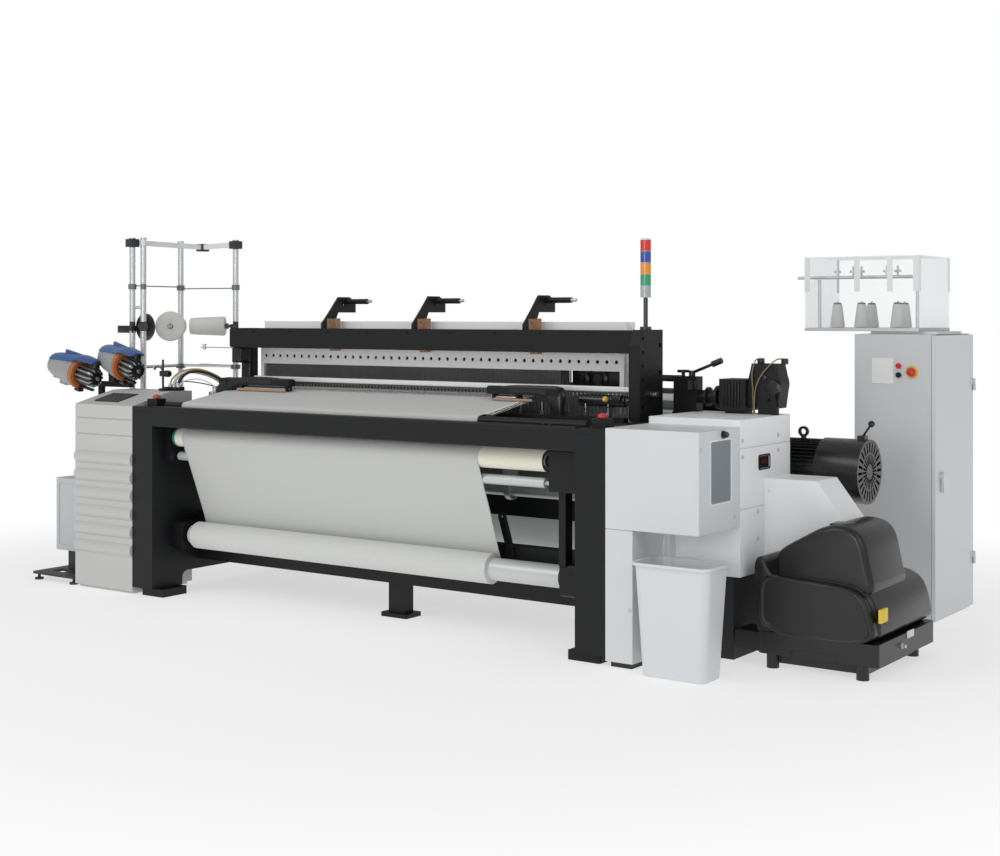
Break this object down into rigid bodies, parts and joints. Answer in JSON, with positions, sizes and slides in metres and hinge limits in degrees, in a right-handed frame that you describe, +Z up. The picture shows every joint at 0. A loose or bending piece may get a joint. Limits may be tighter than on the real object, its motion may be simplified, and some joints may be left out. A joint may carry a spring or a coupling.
{
  "type": "power loom",
  "caption": "Air-jet weaving loom with weft feeders, yarn creel, heald frames, cloth take-up, warp beam, side drive, cam box, control cabinet and waste bin.",
  "frame": {"origin": "on the floor, in the middle of the four anchor holes of the frame feet", "axes": "+X along the width of the loom towards the drive side, +Y from the cloth side to the warp side, +Z up"},
  "size_m": [4.9179, 2.288, 1.906],
  "materials": {
    "frame_black": "satin black paint on castings and beams",
    "cabinet_white": "smooth light grey powder coat",
    "bright_steel": "ground and brushed steel",
    "aluminium": "extruded aluminium",
    "roller_cover": "cream friction covering",
    "cloth": "plain undyed cotton cloth",
    "yarn": "white cotton yarn",
    "black_plastic": "grained black moulding",
    "white_plastic": "white moulding",
    "blue_plastic": "blue moulding",
    "orange_plastic": "orange ring",
    "red_plastic": "red button",
    "lamp_plastic": "coloured lamp lenses",
    "acrylic": "clear sheet",
    "hose": "polyurethane hose"
  },
  "bodies": {
    "root": {"left_side_frame": "frame_black", "right_side_frame": "frame_black", "frame_feet": "frame_black", "front_beam": "frame_black", "cross_stays": "frame_black", "upper_beam": "frame_black", "light_tower": "lamp_plastic", "heald_guides": "frame_black", "cloth": "cloth", "temples": "frame_black", "roller_brackets": "frame_black", "left_cabinet": "cabinet_white", "side_unit": "cabinet_white", "feeder_stand": "frame_black", "feeder_housings": "blue_plastic", "creel_stand": "bright_steel", "yarn_cones": "yarn", "stop_motion": "bright_steel", "warp_sheet": "yarn", "gear_housing": "cabinet_white", "front_box": "cabinet_white", "belt_cover": "cabinet_white", "motor_body": "frame_black", "motor_fan_cover": "frame_black", "cam_box_base": "black_plastic", "cam_box_lid": "black_plastic", "bin": "white_plastic", "let_off_drive": "frame_black", "cabinet_body": "cabinet_white", "selvedge_box": "acrylic", "selvedge_rail": "bright_steel", "air_hoses": "hose"},
    "takeup": {"takeup_roller": "roller_cover"},
    "press": {"press_roller": "bright_steel"},
    "guide": {"guide_roller": "bright_steel"},
    "cloth_winding": {"cloth_beam": "aluminium", "cloth_roll": "cloth"},
    "sley_body": {"sley": "bright_steel", "reed": "bright_steel", "nozzles": "bright_steel"},
    "healds_odd": {"heald_frames_odd": "aluminium"},
    "healds_even": {"heald_frames_even": "aluminium"},
    "warp_supply": {"warp_beam": "bright_steel", "warp_yarn": "yarn"},
    "back_roller": {"back_rest": "bright_steel"},
    "motor_rotor": {"motor_fan": "bright_steel"},
    "winder_1": {"feeder_winder_1": "orange_plastic"},
    "winder_2": {"feeder_winder_2": "orange_plastic"},
    "left_stop": {"left_stop_button": "red_plastic"},
    "right_stop": {"right_stop_button": "red_plastic"},
    "door": {"cabinet_door": "cabinet_white"},
    "handle": {"door_handle": "black_plastic"},
    "estop": {"cabinet_estop": "red_plastic"},
    "red_button": {"button_red": "red_plastic"},
    "black_button": {"button_black": "black_plastic"},
    "tension_lever": {"hand_lever": "black_plastic"},
    "brake_lever": {"ball_lever": "black_plastic"},
    "cover_knob": {"box_knob": "black_plastic"},
    "temple_pair": {"temple_rollers": "bright_steel"}
  },
  "joints": [
    {"name": "takeup_spin", "type": "hinge", "parent": "root", "child": "takeup", "pos_m": [0, -0.516, 0.82], "axis": [1, 0, 0], "continuous": true},
    {"name": "press_spin", "type": "hinge", "parent": "root", "child": "press", "pos_m": [0, -0.46153, 0.8657], "axis": [1, 0, 0], "continuous": true},
    {"name": "guide_spin", "type": "hinge", "parent": "root", "child": "guide", "pos_m": [0, -0.50408, 0.722], "axis": [1, 0, 0], "continuous": true},
    {"name": "cloth_beam_spin", "type": "hinge", "parent": "root", "child": "cloth_winding", "pos_m": [0, -0.445, 0.31], "axis": [1, 0, 0], "continuous": true},
    {"name": "sley_swing", "type": "hinge", "parent": "root", "child": "sley_body", "pos_m": [0, -0.05, 0.62], "axis": [1, 0, 0], "range_deg": [0, 9.5]},
    {"name": "healds_odd_lift", "type": "slide", "parent": "root", "child": "healds_odd", "axis": [0, 0, 1], "range_m": [0, 0.11]},
    {"name": "healds_even_lift", "type": "slide", "parent": "root", "child": "healds_even", "axis": [0, 0, 1], "range_m": [-0.11, 0]},
    {"name": "warp_beam_spin", "type": "hinge", "parent": "root", "child": "warp_supply", "pos_m": [0, 0.54, 0.56], "axis": [1, 0, 0], "continuous": true},
    {"name": "back_rest_spin", "type": "hinge", "parent": "root", "child": "back_roller", "pos_m": [0, 0.5, 1.02], "axis": [1, 0, 0], "continuous": true},
    {"name": "motor_spin", "type": "hinge", "parent": "root", "child": "motor_rotor", "pos_m": [1.9, 0.4, 0.761], "axis": [1, 0, 0], "continuous": true},
    {"name": "winder_1_spin", "type": "hinge", "parent": "root", "child": "winder_1", "pos_m": [-2.206, -0.35, 1.128], "axis": [0.9781, 0, -0.2079], "continuous": true},
    {"name": "winder_2_spin", "type": "hinge", "parent": "root", "child": "winder_2", "pos_m": [-1.885, -0.305, 1.175], "axis": [0.9568, -0.2034, -0.2079], "continuous": true},
    {"name": "left_stop_press", "type": "slide", "parent": "root", "child": "left_stop", "axis": [0, 0, -1], "range_m": [0, 0.004], "stiffness_N_per_m": 3000},
    {"name": "right_stop_press", "type": "slide", "parent": "root", "child": "right_stop", "axis": [0, 0, -1], "range_m": [0, 0.004], "stiffness_N_per_m": 3000},
    {"name": "door_swing", "type": "hinge", "parent": "root", "child": "door", "pos_m": [2.255, 1.529, 0.25], "axis": [0, 0, 1], "range_deg": [0, 110]},
    {"name": "handle_turn", "type": "hinge", "parent": "door", "child": "handle", "pos_m": [2.247, 1.071, 0.69], "axis": [1, 0, 0], "range_deg": [0, 90]},
    {"name": "estop_press", "type": "slide", "parent": "root", "child": "estop", "axis": [0, 1, 0], "range_m": [0, 0.004], "stiffness_N_per_m": 3000},
    {"name": "red_press", "type": "slide", "parent": "root", "child": "red_button", "axis": [0, 1, 0], "range_m": [0, 0.004], "stiffness_N_per_m": 3000},
    {"name": "black_press", "type": "slide", "parent": "root", "child": "black_button", "axis": [0, 1, 0], "range_m": [0, 0.004], "stiffness_N_per_m": 3000},
    {"name": "tension_lever_turn", "type": "hinge", "parent": "root", "child": "tension_lever", "pos_m": [1.42, 0.14, 1.15], "axis": [0, 0, 1], "range_deg": [-30, 45]},
    {"name": "brake_lever_tilt", "type": "hinge", "parent": "root", "child": "brake_lever", "pos_m": [2.131, 0.4, 0.914], "axis": [0, 1, 0], "range_deg": [0, 10]},
    {"name": "cover_knob_turn", "type": "hinge", "parent": "root", "child": "cover_knob", "pos_m": [1.875, -0.445, 0.966], "axis": [1, 0, 0], "range_deg": [0, 90]},
    {"name": "temple_spin", "type": "hinge", "parent": "root", "child": "temple_pair", "pos_m": [0, -0.23, 1.07071], "axis": [1, 0, 0], "continuous": true}
  ],
  "couplings": [
    {"joint": "press_spin", "follows": "takeup_spin", "ratio": -2.0889},
    {"joint": "healds_even_lift", "follows": "healds_odd_lift", "ratio": -1}
  ]
}
